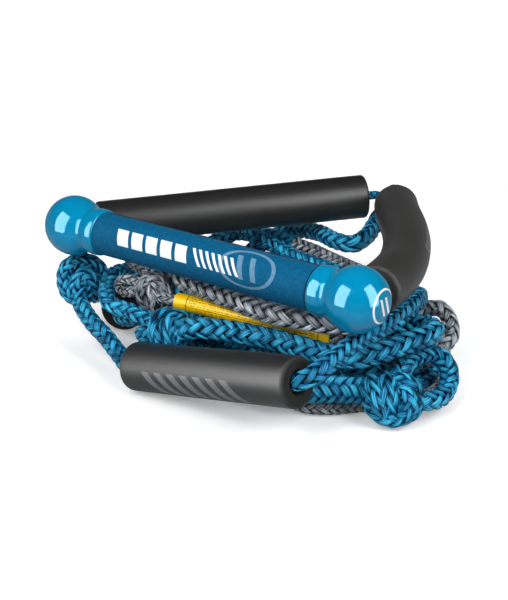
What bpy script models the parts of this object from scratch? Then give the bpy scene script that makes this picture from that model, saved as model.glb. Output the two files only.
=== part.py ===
"""Tow rope handle for wake surfing, put away with its rope in a flat oval coil.

The handle lies level along X. Its bridle runs out of both end caps, through one straight and one
bent foam float, to a knot behind the coil. The main line carries two more floats, a printed sleeve
and its knots, and most of its length lies in the coil. Metres, +Z up, standing on Z = 0.
"""
import math

import bmesh
import bpy
from mathutils import Matrix, Vector

MM = 0.001
GAP = 0.3
ORIGIN = Vector((-43.8, 70.9, 0.0))

# Handle, all in millimetres: its centre, and distances along it from that centre.
HANDLE_CENTRE = Vector((-36.0, 0.0, 85.5))
BULB_OFFSET = 107.75
BULB_RADIUS = 19.5
BULB_FLAT = 18.3
SEAM_FROM_BULB = 26.4
COLLAR_RADIUS = 15.0
WAIST_RADIUS = 14.1
TUBE_RADIUS = 9.5
TUBE_WALL = 1.5
TUBE_HALF = 95.5
FOAM_RADIUS = 12.9
WRAP_RADIUS = 13.8
WRAP_SEAM_WIDTH_DEG = 8.0
WRAP_SEAM_ANGLE_DEG = 68.0
CAVITY_RADIUS = 8.6
CAVITY_DEPTH = 7.5
PORT_RADIUS = 7.0
PORT_DROP_DEG = 9.0
BUSH_RADIUS = 7.6
BUSH_BORE = 4.4
BUSH_LENGTH = 14.0

# Floats.
FLOAT_RADIUS = 15.4
FLOAT_BORE = 6.9
FLOAT_RIM = 1.6
LINE_FLOAT_ENDS = (Vector((-70.0, -29.0, 15.9)), Vector((58.4, -37.7, 44.65)))
LEFT_FLOAT_ENDS = (Vector((-167.0, 46.0, 69.0)), Vector((-36.5, 184.5, 77.5)))
RIGHT_FLOAT_ROUTE = (
    (68, 27, 81), (65, 50, 81), (58, 74, 80), (44, 104, 80),
    (25, 134, 79), (4, 162, 78), (-9, 181, 77),
)
COIL_FLOAT_ROUTE = (
    (-137, 34, 15.42), (-147, 58, 15.42), (-150, 84, 15.42), (-146, 112, 15.42),
)

# Rope diameters.
BRIDLE_DIAMETER = 6.5
THIN_DIAMETER = 7.4
LOOP_DIAMETER = 9.0
LINE_DIAMETER = 11.0
WIDE_DIAMETER = 13.0
THICK_DIAMETER = 14.0
END_DIAMETER = 16.5
SLEEVE_RADIUS = 5.4
SLEEVE_BORE = 4.3

# The coil: the middle of its turns is an oval round two centres.
COIL_CENTRE_X = (-50.0, -1.0)
COIL_CENTRE_Y = 82.0
COIL_TURN_RADIUS = 56.0
COIL_HALF_WIDTH = 22.0
COIL_HEIGHT = 30.0
COIL_TOP_HALF_WIDTH = 12.0

# Routes of the ropes: points set by hand along each rope's middle.
ROUTES = {
    "rope_to_bridle": (WIDE_DIAMETER, "rope_blue", (
        (-28, 192, 62.5), (-28, 184, 57), (-25, 170, 54), (-27, 155, 52), (-42, 156, 51),
        (-61, 167, 49), (-78, 175, 45.5), (-97, 181, 40), (-114, 179, 31), (-127, 167, 18.5),
        (-127, 152, 8.5), (-114, 146, 7),
    )),
    "rope_back_blue": (LINE_DIAMETER, "rope_blue", (
        (-72, 3, 32.5), (-80, 9.5, 30.5), (-95, 15.5, 27), (-110, 18.5, 22), (-124, 21.5, 17.2),
        (-134, 29, 15.4), (-137.8, 36, 15.4), (-147, 58, 15.4), (-150, 84, 15.4),
        (-146, 112, 15.4), (-145, 121, 19), (-142, 133, 29), (-133, 143, 38), (-119, 150, 41.5),
        (-104, 150, 41), (-90, 148, 39), (-67, 143, 37), (-46, 139, 37), (-22, 134, 37), (2, 126, 37),
    )),
    "rope_back_splice": (LINE_DIAMETER, "rope_blue", (
        (-134, 130, 6.5), (-142, 137, 10), (-146, 146, 18), (-143, 156, 28), (-133, 163, 35.5),
        (-118, 165, 38), (-104, 164, 38), (-90, 162, 38), (-79, 162, 38),
    )),
    "rope_back_grey": (LINE_DIAMETER, "rope_grey", (
        (-78, 162, 38), (-64, 159, 38), (-44, 154, 37), (-25, 148, 37), (-4, 142, 37),
        (14, 134, 37), (24, 124, 37),
    )),
    "rope_front_blue": (THICK_DIAMETER, "rope_blue", (
        (-46, -6, 39), (-37, -4, 41.3), (-24, 1, 41.8), (-7, 5, 41.8), (13, 8, 41.8), (41, 9, 41.5),
        (60, 12, 41.5), (71, 24, 43), (78, 40, 44.5), (83, 55, 45), (84.5, 68, 44.5), (79, 77, 43),
        (69, 79, 42), (60, 76, 40.5), (51, 72, 39), (41, 67, 37.8),
    )),
    "rope_line": (LINE_DIAMETER, "rope_blue", (
        (-138, -5, 34), (-131, -9.5, 32.5), (-118, -15, 28), (-103, -19, 23), (-89, -24, 18),
        (-76, -28.6, 14.6), (-50, -30.4, 20.4), (-7, -33.3, 30), (40, -36.4, 40.5),
        (62.5, -38, 45.6), (69, -30, 48.5), (69.5, -17, 51.5), (69, -3, 54), (71, 12, 57),
        (73, 31, 58.5), (73, 52, 59.5), (69, 75, 58.5), (60, 94, 54), (52, 106, 48), (42, 114, 41),
    )),
    "rope_left_tail": (LINE_DIAMETER, "rope_blue", (
        (-132, 21, 40.5), (-130, 29, 38), (-122, 42, 36.3), (-112, 54, 36.3), (-104, 68, 36.3),
    )),
    "rope_left_loop": (LINE_DIAMETER, "rope_blue", (
        (-77, -9.5, 39.8), (-82, -10.5, 41), (-90, -10.5, 42), (-98, -12.5, 43), (-106, -12, 44.5),
        (-115, -4, 46), (-122.6, 6.2, 48), (-127, 17, 50), (-125, 28, 49.5), (-116, 36, 47),
        (-104, 38, 42.5), (-90, 37, 38.5),
    )),
    "rope_grey_loop": (THIN_DIAMETER, "rope_grey", (
        (-99.5, 6, 54.8), (-103.5, 5, 55.8), (-108.6, 4.5, 54), (-111, 4.5, 49.8), (-108.5, 4.5, 46.3),
        (-103.5, 4.8, 46.8), (-100, 5.6, 48),
    )),
    "rope_grey_tail": (LOOP_DIAMETER, "rope_grey", (
        (-98, 19.5, 54), (-103, 21, 56), (-110, 22, 58), (-117, 24, 59.5), (-124, 31, 59.5),
        (-128, 42, 55), (-126, 54, 48), (-118, 66, 41.5), (-108, 82, 36),
    )),
    "rope_sleeved": (THIN_DIAMETER, "rope_grey", (
        (-74, 6, 49.5), (-67, 9, 48), (-40, 14, 47), (-12, 17, 47), (14, 22, 47), (40, 27, 47),
        (52, 32, 43), (60, 42, 36),
    )),
    "rope_front_grey": (THICK_DIAMETER, "rope_grey", (
        (-75.5, 24, 59), (-67.5, 16.5, 60), (-44, 12, 60), (-20, 9.5, 59.5), (-2, 7, 59), (16, 7, 59),
        (37, 15, 58), (51, 23, 57), (56, 34, 54), (55, 44, 49), (50, 53, 43),
    )),
    "rope_side_grey": (LOOP_DIAMETER, "rope_grey", (
        (49, 94, 35.6), (56, 97, 39.5), (65, 100, 44.5), (74, 101, 46), (83, 98, 41), (88, 91, 34),
        (85.5, 84, 28.5), (80, 81.5, 25),
    )),
    "tow_loop": (LINE_DIAMETER, "rope_blue", (
        (98, 38, 14), (101, 51, 12), (99, 64, 13), (95, 73, 18), (90, 75, 24), (83, 72, 28),
        (78, 62, 28), (77, 51, 28), (79, 42, 27),
    )),
    "rope_end": (END_DIAMETER, "rope_blue", (
        (63.6, 19.2, 17), (56, 12.5, 17.5), (44, 3, 17), (30, -5, 14), (12, -5, 8.8),
        (-18, -5.2, 8.6), (-44, -5.2, 8.6), (-68, -3.6, 8.6), (-88, 3, 8.6),
    )),
    "rope_floor_grey": (LOOP_DIAMETER, "rope_grey", (
        (70, 36, 4.7), (61, 27, 4.7), (50, 15, 4.7), (40, 8, 4.7), (32, 5.5, 4.7),
    )),
}

# Knots: centre and half sizes along the camera-facing, depth and upright directions.
KNOT_TURN_DEG = 36.0
KNOTS = {
    "knot_left": ("rope_blue", (-147, 7, 44.5), (16.5, 13.0, 16.0)),
    "knot_front": ("rope_blue", (-60, -7, 35.5), (14.0, 11.5, 12.4)),
    "knot_grey": ("rope_grey", (-86.7, 10, 49), (12.0, 10.0, 13.0)),
    "knot_end": ("rope_blue", (84, 24, 17), (18.0, 15.5, 16.5)),
    "knot_bridle": ("rope_blue", (-21, 201, 74), (11.0, 10.0, 11.0)),
}

COLOURS = {
    "rope_blue": ((0.02, 0.20, 0.42), 0.55, 0.0),
    "rope_grey": ((0.30, 0.32, 0.35), 0.55, 0.0),
    "cap_blue": ((0.0, 0.22, 0.48), 0.15, 0.0),
    "grip_blue": ((0.01, 0.10, 0.24), 0.8, 0.0),
    "foam_black": ((0.02, 0.02, 0.02), 0.75, 0.0),
    "sleeve_yellow": ((0.85, 0.50, 0.01), 0.4, 0.0),
    "tube_metal": ((0.75, 0.76, 0.78), 0.3, 1.0),
    "bush_plastic": ((0.05, 0.05, 0.06), 0.5, 0.0),
}


def place(point):
    """A layout point in millimetres, as a place in metres from the part's origin."""
    return (Vector(point) - ORIGIN) * MM


def material(name):
    """The named material, made the first time it is asked for."""
    found = bpy.data.materials.get(name)
    if found:
        return found
    colour, roughness, metallic = COLOURS[name]
    made = bpy.data.materials.new(name)
    made.use_nodes = True
    shader = made.node_tree.nodes["Principled BSDF"]
    shader.inputs["Base Color"].default_value = (*colour, 1.0)
    shader.inputs["Roughness"].default_value = roughness
    shader.inputs["Metallic"].default_value = metallic
    return made


def add_mesh(name, mesh, collection, material_name=None, matrix=None):
    """Links a mesh as an object of that name."""
    made = bpy.data.objects.new(name, mesh)
    collection.objects.link(made)
    if matrix is not None:
        made.matrix_world = matrix
    if material_name:
        mesh.materials.clear()
        mesh.materials.append(material(material_name))
    return made


def smooth_route(points, step):
    """Points a step apart along a smooth curve through the route's own points."""
    knots = [Vector(p) for p in points]
    knots = [knots[0] * 2 - knots[1]] + knots + [knots[-1] * 2 - knots[-2]]
    fine = []
    for before, start, end, after in zip(knots, knots[1:], knots[2:], knots[3:]):
        t1 = (start - before).length ** 0.5
        t2 = t1 + (end - start).length ** 0.5
        t3 = t2 + (after - end).length ** 0.5
        for i in range(16):
            t = t1 + (t2 - t1) * i / 16
            a1 = before.lerp(start, t / t1)
            a2 = start.lerp(end, (t - t1) / (t2 - t1))
            a3 = end.lerp(after, (t - t2) / (t3 - t2))
            b1 = a1.lerp(a2, t / t2)
            b2 = a2.lerp(a3, (t - t1) / (t3 - t1))
            fine.append(b1.lerp(b2, (t - t1) / (t2 - t1)))
    fine.append(knots[-2])
    lengths = [0.0]
    for a, b in zip(fine, fine[1:]):
        lengths.append(lengths[-1] + (b - a).length)
    count = max(2, round(lengths[-1] / step))
    route = []
    at = 0
    for i in range(count + 1):
        wanted = lengths[-1] * i / count
        while at < len(fine) - 2 and lengths[at + 1] < wanted:
            at += 1
        part = (wanted - lengths[at]) / (lengths[at + 1] - lengths[at])
        route.append(fine[at].lerp(fine[at + 1], min(max(part, 0.0), 1.0)))
    return route


def add_tube(name, route, radius, collection, material_name=None, resolution=2):
    """A round bar along the route, as a curve with filled caps."""
    curve = bpy.data.curves.new(name, "CURVE")
    curve.dimensions = "3D"
    curve.bevel_depth = radius * MM
    curve.bevel_resolution = resolution
    curve.use_fill_caps = True
    spline = curve.splines.new("POLY")
    spline.points.add(len(route) - 1)
    for point, at in zip(spline.points, route):
        point.co = (*place(at), 1.0)
    made = bpy.data.objects.new(name, curve)
    collection.objects.link(made)
    if material_name:
        curve.materials.append(material(material_name))
    return made


def as_mesh(curve_object, collection, material_name=None):
    """The curve object turned into a welded mesh object of the same name."""
    bpy.context.view_layer.update()
    depsgraph = bpy.context.evaluated_depsgraph_get()
    mesh = bpy.data.meshes.new_from_object(curve_object.evaluated_get(depsgraph))
    matrix = curve_object.matrix_world.copy()
    name = curve_object.name
    bpy.data.objects.remove(curve_object)
    work = bmesh.new()
    work.from_mesh(mesh)
    bmesh.ops.remove_doubles(work, verts=work.verts, dist=1e-6)
    bmesh.ops.recalc_face_normals(work, faces=work.faces)
    work.to_mesh(mesh)
    work.free()
    return add_mesh(name, mesh, collection, material_name, matrix)


def add_turned(name, profile, matrix, collection, material_name, steps=24, degrees=360.0):
    """A profile of (radius, height) points in millimetres, turned round its local Z axis."""
    mesh = bpy.data.meshes.new(name)
    verts = [(r * MM, 0.0, z * MM) for r, z in profile]
    closed = profile[0][0] > 0 and degrees == 360.0
    edges = [(i, i + 1) for i in range(len(verts) - 1)]
    if closed:
        edges.append((len(verts) - 1, 0))
    mesh.from_pydata(verts, edges, [])
    made = add_mesh(name, mesh, collection, material_name, matrix)
    screw = made.modifiers.new("turn", "SCREW")
    screw.angle = math.radians(degrees)
    screw.steps = steps
    screw.render_steps = steps
    screw.use_merge_vertices = degrees == 360.0
    screw.merge_threshold = 1e-5
    screw.use_smooth_shade = True
    return made


def cut(target, cutter):
    """Cuts the cutter's shape out of the target."""
    boolean = target.modifiers.new("cut_" + cutter.name, "BOOLEAN")
    boolean.operation = "DIFFERENCE"
    boolean.object = cutter
    cutter.hide_render = True
    cutter.display_type = "WIRE"


def along_x(offset, sign=1):
    """The frame of a turned part whose local Z runs along the handle, outward for that side."""
    centre = place(HANDLE_CENTRE + Vector((offset, 0.0, 0.0)))
    return Matrix.Translation(centre) @ Matrix.Rotation(math.radians(90.0) * sign, 4, "Y")


def ring_profile(inner, outer, low, high):
    """The closed outline of a plain tube wall."""
    return [(outer, high), (outer, low), (inner, low), (inner, high)]


def cap_profile():
    """The outline of an end cap: flattened bulb, waist, collar, tube socket and rope cavity."""
    start = math.acos(BULB_FLAT / BULB_RADIUS)
    end = math.acos(-11.9 / BULB_RADIUS)
    arc_points = 14
    bulb = []
    for i in range(arc_points):
        angle = start + (end - start) * i / (arc_points - 1)
        bulb.append((BULB_RADIUS * math.sin(angle), BULB_RADIUS * math.cos(angle)))
    collar = [
        (WAIST_RADIUS + 0.4, -12.9), (WAIST_RADIUS, -13.8), (WAIST_RADIUS + 0.3, -14.6),
        (COLLAR_RADIUS, -15.8), (COLLAR_RADIUS, -SEAM_FROM_BULB + 1.0),
        (COLLAR_RADIUS - 0.7, -SEAM_FROM_BULB + GAP / 2),
    ]
    socket = [
        (TUBE_RADIUS + GAP, -SEAM_FROM_BULB + GAP / 2),
        (TUBE_RADIUS + GAP, TUBE_HALF - BULB_OFFSET + GAP),
        (CAVITY_RADIUS, TUBE_HALF - BULB_OFFSET + GAP),
        (CAVITY_RADIUS, CAVITY_DEPTH - 2.0),
        (CAVITY_RADIUS - 3.0, CAVITY_DEPTH),
        (0.0, CAVITY_DEPTH),
    ]
    return [(0.0, BULB_FLAT)] + bulb + collar + socket


def port_direction():
    """The way the bridle rope leaves both end caps: to the rear, a little down."""
    drop = math.radians(PORT_DROP_DEG)
    return Vector((0.0, math.cos(drop), -math.sin(drop)))


def make_handle(parts, cutters):
    """Tube, rope bushes, foam, printed wrap and both end caps."""
    half_grip = BULB_OFFSET - SEAM_FROM_BULB - GAP / 2
    add_turned("handle_tube", ring_profile(TUBE_RADIUS - TUBE_WALL, TUBE_RADIUS, -TUBE_HALF, TUBE_HALF),
               along_x(0.0), parts, "tube_metal")
    add_turned("grip_foam", ring_profile(TUBE_RADIUS + GAP, FOAM_RADIUS, -half_grip, half_grip),
               along_x(0.0), parts, "foam_black")
    seam = math.radians(WRAP_SEAM_ANGLE_DEG + WRAP_SEAM_WIDTH_DEG / 2)
    wrap_frame = along_x(0.0) @ Matrix.Rotation(seam, 4, "Z")
    wrap = add_turned("grip_wrap", [(WRAP_RADIUS, half_grip), (WRAP_RADIUS, -half_grip)],
                      wrap_frame, parts, "grip_blue", 32, 360.0 - WRAP_SEAM_WIDTH_DEG)
    shell = wrap.modifiers.new("wall", "SOLIDIFY")
    shell.thickness = (WRAP_RADIUS - FOAM_RADIUS - GAP) * MM
    shell.offset = -1.0
    for side, sign in (("left", -1), ("right", 1)):
        bush = ring_profile(BUSH_BORE, BUSH_RADIUS, -BUSH_LENGTH / 2, BUSH_LENGTH / 2)
        bush_at = sign * (TUBE_HALF - BUSH_LENGTH / 2)
        add_turned("tube_bush_" + side, bush, along_x(bush_at), parts, "bush_plastic", 20)
        cap = add_turned("end_cap_" + side, cap_profile(), along_x(sign * BULB_OFFSET, sign),
                         parts, "cap_blue", 28)
        start = HANDLE_CENTRE + Vector((sign * BULB_OFFSET, 0.0, 0.0))
        port = add_tube("port_" + side, [start, start + port_direction() * 30.0], PORT_RADIUS,
                        cutters, None, 4)
        cut(cap, as_mesh(port, cutters))


def add_float(name, route, parts, cutters):
    """A foam tube along a route, with rounded rims and a bore right through.

    Its origin is midway between its ends: on the spin axis, for a straight float.
    """
    body = as_mesh(add_tube(name, route, FLOAT_RADIUS, parts, None, 6), parts, "foam_black")
    middle = place((route[0] + route[-1]) / 2)
    body.data.transform(Matrix.Translation(-middle))
    body.matrix_world = Matrix.Translation(middle)
    first = route[0] + (route[0] - route[1]).normalized() * 5.0
    last = route[-1] + (route[-1] - route[-2]).normalized() * 5.0
    bore = as_mesh(add_tube(name + "_bore", [first] + route + [last], FLOAT_BORE, cutters, None, 3),
                   cutters)
    rim = body.modifiers.new("rim", "BEVEL")
    rim.width = FLOAT_RIM * MM
    rim.segments = 2
    rim.limit_method = "ANGLE"
    rim.angle_limit = math.radians(50.0)
    cut(body, bore)
    return body


def make_floats(parts, cutters):
    """The two straight floats and the two bent ones."""
    add_float("float_line", list(LINE_FLOAT_ENDS), parts, cutters)
    add_float("float_left_leg", list(LEFT_FLOAT_ENDS), parts, cutters)
    add_float("float_right_leg", smooth_route(RIGHT_FLOAT_ROUTE, 18.0), parts, cutters)
    add_float("float_coil", smooth_route(COIL_FLOAT_ROUTE, 16.0), parts, cutters)


def make_bridle(parts):
    """The bridle rope: knot, left float, left cap, tube, right cap, right float, knot."""
    left_start, left_end = LEFT_FLOAT_ENDS
    left_way = (left_end - left_start).normalized()
    bulb = HANDLE_CENTRE + Vector((BULB_OFFSET, 0.0, 0.0))
    mirror_bulb = HANDLE_CENTRE - Vector((BULB_OFFSET, 0.0, 0.0))
    route = [
        left_end + left_way * 6.0 + Vector((0.5, 1.0, 0.0)), left_end + left_way * 2.0,
        left_end - left_way * 60.0, left_start + left_way * 60.0, left_start,
        left_start - left_way * 3.0, (-172, 36, 69), (-165, 30, 73), (-155, 26, 78),
        (-147, 19, 82.7), (-144.5, 11, 84.3), mirror_bulb + Vector((2.5, 3.0, 0.0)),
        mirror_bulb + Vector((13.0, 0.0, 0.0)), mirror_bulb + Vector((50.0, 0.0, 0.0)),
        bulb - Vector((50.0, 0.0, 0.0)), bulb - Vector((13.0, 0.0, 0.0)),
        bulb - Vector((2.5, -3.0, 0.0)), (71.0, 11, 84.5), (69.5, 19, 82.7),
    ]
    route += list(RIGHT_FLOAT_ROUTE)
    route.append((-13, 186, 76))
    route = smooth_route(route, BRIDLE_DIAMETER * 1.6)
    add_tube("bridle_rope", route, BRIDLE_DIAMETER / 2, parts, "rope_blue", 2)


def make_ropes(parts):
    """Every visible stretch of the main line, one tube each."""
    for name, (diameter, colour, points) in ROUTES.items():
        add_tube(name, smooth_route(points, diameter * 1.5), diameter / 2, parts, colour, 2)


def make_knots(parts):
    """Each knot as one rounded lump of the knot's outer size."""
    for name, (colour, centre, halves) in KNOTS.items():
        mesh = bpy.data.meshes.new(name)
        work = bmesh.new()
        bmesh.ops.create_uvsphere(work, u_segments=16, v_segments=10, radius=1.0)
        bmesh.ops.scale(work, vec=Vector(halves) * MM, verts=work.verts)
        work.to_mesh(mesh)
        work.free()
        mesh.shade_smooth()
        turn = Matrix.Rotation(math.radians(KNOT_TURN_DEG), 4, "Z")
        add_mesh(name, mesh, parts, colour, Matrix.Translation(place(centre)) @ turn)


def coil_outline(segments):
    """The middle line of the coil's turns, once round, as points in millimetres."""
    points = []
    for centre_x, first in ((COIL_CENTRE_X[1], -90.0), (COIL_CENTRE_X[0], 90.0)):
        for i in range(segments + 1):
            angle = math.radians(first + 180.0 * i / segments)
            points.append((centre_x + COIL_TURN_RADIUS * math.cos(angle),
                           COIL_CENTRE_Y + COIL_TURN_RADIUS * math.sin(angle), 0.0))
    return points


def make_coil(parts, cutters):
    """The unseen length of the main line: a flat oval ring that stands on the floor."""
    section = bpy.data.curves.new("coil_section", "CURVE")
    section.dimensions = "2D"
    shape = section.splines.new("POLY")
    corners = (
        (COIL_HALF_WIDTH, 0.0), (COIL_HALF_WIDTH, COIL_HEIGHT * 0.45),
        (COIL_TOP_HALF_WIDTH, COIL_HEIGHT), (-COIL_TOP_HALF_WIDTH, COIL_HEIGHT),
        (-COIL_HALF_WIDTH, COIL_HEIGHT * 0.45), (-COIL_HALF_WIDTH, 0.0),
    )
    shape.points.add(len(corners) - 1)
    for point, (across, up) in zip(shape.points, corners):
        point.co = (across * MM, up * MM, 0.0, 1.0)
    shape.use_cyclic_u = True
    section_object = bpy.data.objects.new("coil_section", section)
    section_object.hide_render = True
    cutters.objects.link(section_object)
    curve = bpy.data.curves.new("rope_coil", "CURVE")
    curve.dimensions = "2D"
    curve.fill_mode = "NONE"
    curve.bevel_mode = "OBJECT"
    curve.bevel_object = section_object
    spline = curve.splines.new("POLY")
    outline = coil_outline(10)
    spline.points.add(len(outline) - 1)
    for point, at in zip(spline.points, outline):
        point.co = (*place(at), 1.0)
    spline.use_cyclic_u = True
    made = bpy.data.objects.new("rope_coil", curve)
    parts.objects.link(made)
    as_mesh(made, parts, "rope_blue")


def make_sleeve(parts, cutters):
    """The printed sleeve on the thin rope, as a tube with an open bore."""
    route = smooth_route(ROUTES["rope_sleeved"][2][1:6], 12.0)
    body = as_mesh(add_tube("label_sleeve", route, SLEEVE_RADIUS, parts, None, 4), parts,
                   "sleeve_yellow")
    first = route[0] * 2 - route[1]
    last = route[-1] * 2 - route[-2]
    bore = add_tube("label_sleeve_bore", [first] + route + [last], SLEEVE_BORE, cutters, None, 4)
    cut(body, as_mesh(bore, cutters))


def main():
    """Empties the scene and builds every piece."""
    for old in list(bpy.data.objects):
        bpy.data.objects.remove(old)
    parts = bpy.data.collections.new("tow_rope_handle")
    cutters = bpy.data.collections.new("cutters")
    for collection in (parts, cutters):
        bpy.context.scene.collection.children.link(collection)
    make_handle(parts, cutters)
    make_floats(parts, cutters)
    make_bridle(parts)
    make_ropes(parts)
    make_knots(parts)
    make_coil(parts, cutters)
    make_sleeve(parts, cutters)


main()
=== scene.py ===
import math

import bmesh
import bpy
import numpy as np
from mathutils import Matrix, Vector


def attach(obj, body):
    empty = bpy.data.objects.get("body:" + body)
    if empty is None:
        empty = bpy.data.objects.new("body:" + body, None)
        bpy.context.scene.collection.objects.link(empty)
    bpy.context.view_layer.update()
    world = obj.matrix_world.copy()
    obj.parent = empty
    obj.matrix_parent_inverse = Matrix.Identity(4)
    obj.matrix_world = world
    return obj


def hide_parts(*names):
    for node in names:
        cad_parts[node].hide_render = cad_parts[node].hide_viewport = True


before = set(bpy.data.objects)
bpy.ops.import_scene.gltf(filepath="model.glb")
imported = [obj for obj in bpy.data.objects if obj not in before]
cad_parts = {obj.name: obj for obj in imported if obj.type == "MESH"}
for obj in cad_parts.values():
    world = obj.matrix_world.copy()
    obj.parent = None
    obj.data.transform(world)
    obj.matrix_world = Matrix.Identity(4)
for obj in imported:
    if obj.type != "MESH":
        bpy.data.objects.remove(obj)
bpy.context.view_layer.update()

MM = 0.001
ORIGIN = Vector((-43.8, 70.9, 0.0))
ROOT = "handle_and_rope"

# The handle: its centre, and distances along it from that centre.
HANDLE_CENTRE = Vector((-36.0, 0.0, 85.5))
BULB_OFFSET = 107.75
BULB_RADIUS = 19.5
BULB_FLAT = 18.3
BULB_END = -11.9
SEAM_FROM_BULB = 26.4
COLLAR_RADIUS = 15.0
WAIST_RADIUS = 14.1
WRAP_RADIUS = 13.8
FOAM_RADIUS = 12.9
WRAP_SEAM_ANGLE_DEG = 68.0
WRAP_GAP_DEG = 2.2
WRAP_FRONT_DEG = -25.0
CAP_SEGMENTS = 128
PORT_RADIUS = 5.5
PORT_LENGTH = 0.03
PORT_START = 0.0002
PORT_DROP_DEG = 9.0
TUBE_RADIUS = 9.5
TUBE_HALF = 95.5

FLOAT_RADIUS = 15.4
FLOAT_BORE = 6.9
LINE_FLOAT_ENDS = ((-70.0, -29.0, 15.9), (58.4, -37.7, 44.65))
LEFT_FLOAT_ENDS = ((-167.0, 46.0, 69.0), (-36.5, 184.5, 77.5))
RIGHT_FLOAT_ROUTE = (
    (68, 27, 81), (65, 50, 81), (58, 74, 80), (44, 104, 80),
    (25, 134, 79), (4, 162, 78), (-9, 181, 77),
)
COIL_FLOAT_ROUTE = (
    (-137, 34, 15.42), (-147, 58, 15.42), (-150, 84, 15.42), (-146, 112, 15.42),
)

# The coil: the middle of its turns is an oval round two centres.
COIL_CENTRE_X = (-50.0, 4.0)
COIL_CENTRE_Y = 82.0
COIL_TURN_RADIUS = 56.0


def place(point):
    """A layout point in millimetres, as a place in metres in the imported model's frame."""
    return (Vector(point) - ORIGIN) * MM


def rng(seed):
    """A seeded source of numbers, the same in every run."""
    return np.random.default_rng(seed)


# ---------------------------------------------------------------- camera
CAMERA_TARGET = place((0.0, 0.0, 67.8))
CAMERA_AZIMUTH = math.radians(36.0)
CAMERA_ELEVATION = math.radians(22.4)
CAMERA_DISTANCE = 0.8
CAMERA_LENS = 80.4
CAMERA_SENSOR = 36.0


def camera_axes():
    """Right, up and towards-the-camera directions."""
    a, e = CAMERA_AZIMUTH, CAMERA_ELEVATION
    toward = Vector((math.sin(a) * math.cos(e), -math.cos(a) * math.cos(e), math.sin(e)))
    right = Vector((math.cos(a), math.sin(a), 0.0))
    return right, toward.cross(right), toward


def make_camera():
    """The camera, looking at the bundle from its right front, a little above."""
    toward = camera_axes()[2]
    data = bpy.data.cameras.new("camera")
    data.lens = CAMERA_LENS
    data.sensor_width = CAMERA_SENSOR
    data.clip_start = 0.01
    data.clip_end = 50.0
    camera = bpy.data.objects.new("camera", data)
    bpy.context.scene.collection.objects.link(camera)
    camera.rotation_mode = "QUATERNION"
    camera.location = CAMERA_TARGET + toward * CAMERA_DISTANCE
    camera.rotation_quaternion = (-toward).to_track_quat("-Z", "Y")
    bpy.context.scene.camera = camera


# ---------------------------------------------------------------- materials
FOAM_COLOUR = (0.0080, 0.0078, 0.0075)
# Painted light: the right float's foam is painted lighter than the others, for the sheen it shows.
PAINTED_LIGHT_FOAM_COLOUR = (0.021, 0.0205, 0.020)
BAR_COLOUR = (0.12, 0.127, 0.14)


class Nodes:
    """A short way to write a node tree."""

    def __init__(self, name):
        self.material = bpy.data.materials.new(name)
        self.material.use_nodes = True
        self.tree = self.material.node_tree
        self.shader = self.tree.nodes["Principled BSDF"]

    def add(self, kind, inputs=None, **settings):
        node = self.tree.nodes.new(kind)
        for key, value in settings.items():
            setattr(node, key, value)
        for key, value in (inputs or {}).items():
            self.feed(node.inputs[key], value)
        return node

    def feed(self, socket, value):
        if isinstance(value, bpy.types.NodeSocket):
            self.tree.links.new(value, socket)
        elif value is not None:
            socket.default_value = value

    def math(self, operation, a, b=None):
        node = self.add("ShaderNodeMath", operation=operation)
        for socket, value in zip(node.inputs, (a, b)):
            self.feed(socket, value)
        return node.outputs[0]

    def plus(self, a, b):
        return self.math("ADD", a, b)

    def minus(self, a, b):
        return self.math("SUBTRACT", a, b)

    def times(self, a, b):
        return self.math("MULTIPLY", a, b)

    def larger(self, a, b):
        return self.math("MAXIMUM", a, b)

    def distance(self, a, b=0.0):
        return self.math("ABSOLUTE", a if b == 0.0 else self.minus(a, b))

    def root_of_squares(self, a, b):
        return self.math("SQRT", self.plus(self.times(a, a), self.times(b, b)))

    def smooth(self, value, low, high, to_low=0.0, to_high=1.0):
        node = self.add("ShaderNodeMapRange", interpolation_type="SMOOTHSTEP")
        for key, fed in zip(("Value", "From Min", "From Max", "To Min", "To Max"),
                            (value, low, high, to_low, to_high)):
            self.feed(node.inputs[key], fed)
        return node.outputs[0]

    def mix(self, factor, a, b):
        node = self.add("ShaderNodeMix", data_type="RGBA")
        self.feed(node.inputs["Factor"], factor)
        self.feed(node.inputs["A"], a if isinstance(a, bpy.types.NodeSocket) else (*a, 1.0))
        self.feed(node.inputs["B"], b if isinstance(b, bpy.types.NodeSocket) else (*b, 1.0))
        return node.outputs["Result"]

    def noise(self, vector, scale, detail=2.0, roughness=0.5):
        node = self.add("ShaderNodeTexNoise", {"Vector": vector, "Scale": scale, "Detail": detail,
                                               "Roughness": roughness})
        return node.outputs["Fac"]

    def here(self):
        return self.add("ShaderNodeTexCoord").outputs["Object"]

    def attribute(self, name, output="Vector"):
        return self.add("ShaderNodeAttribute", attribute_name=name).outputs[output]

    def split(self, vector):
        return self.add("ShaderNodeSeparateXYZ", {0: vector}).outputs

    def scaled(self, vector, by):
        node = self.add("ShaderNodeVectorMath", operation="MULTIPLY")
        self.feed(node.inputs[0], vector)
        node.inputs[1].default_value = by
        return node.outputs[0]

    def bump(self, height, strength, distance):
        node = self.add("ShaderNodeBump", {"Height": height, "Strength": strength,
                                           "Distance": distance})
        return node.outputs["Normal"]

    def surface(self, **inputs):
        for key, value in inputs.items():
            name = key.replace("_", " ")
            if isinstance(value, tuple) and len(value) == 3:
                value = (*value, 1.0)
            self.feed(self.shader.inputs[name], value)
        return self.material


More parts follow.
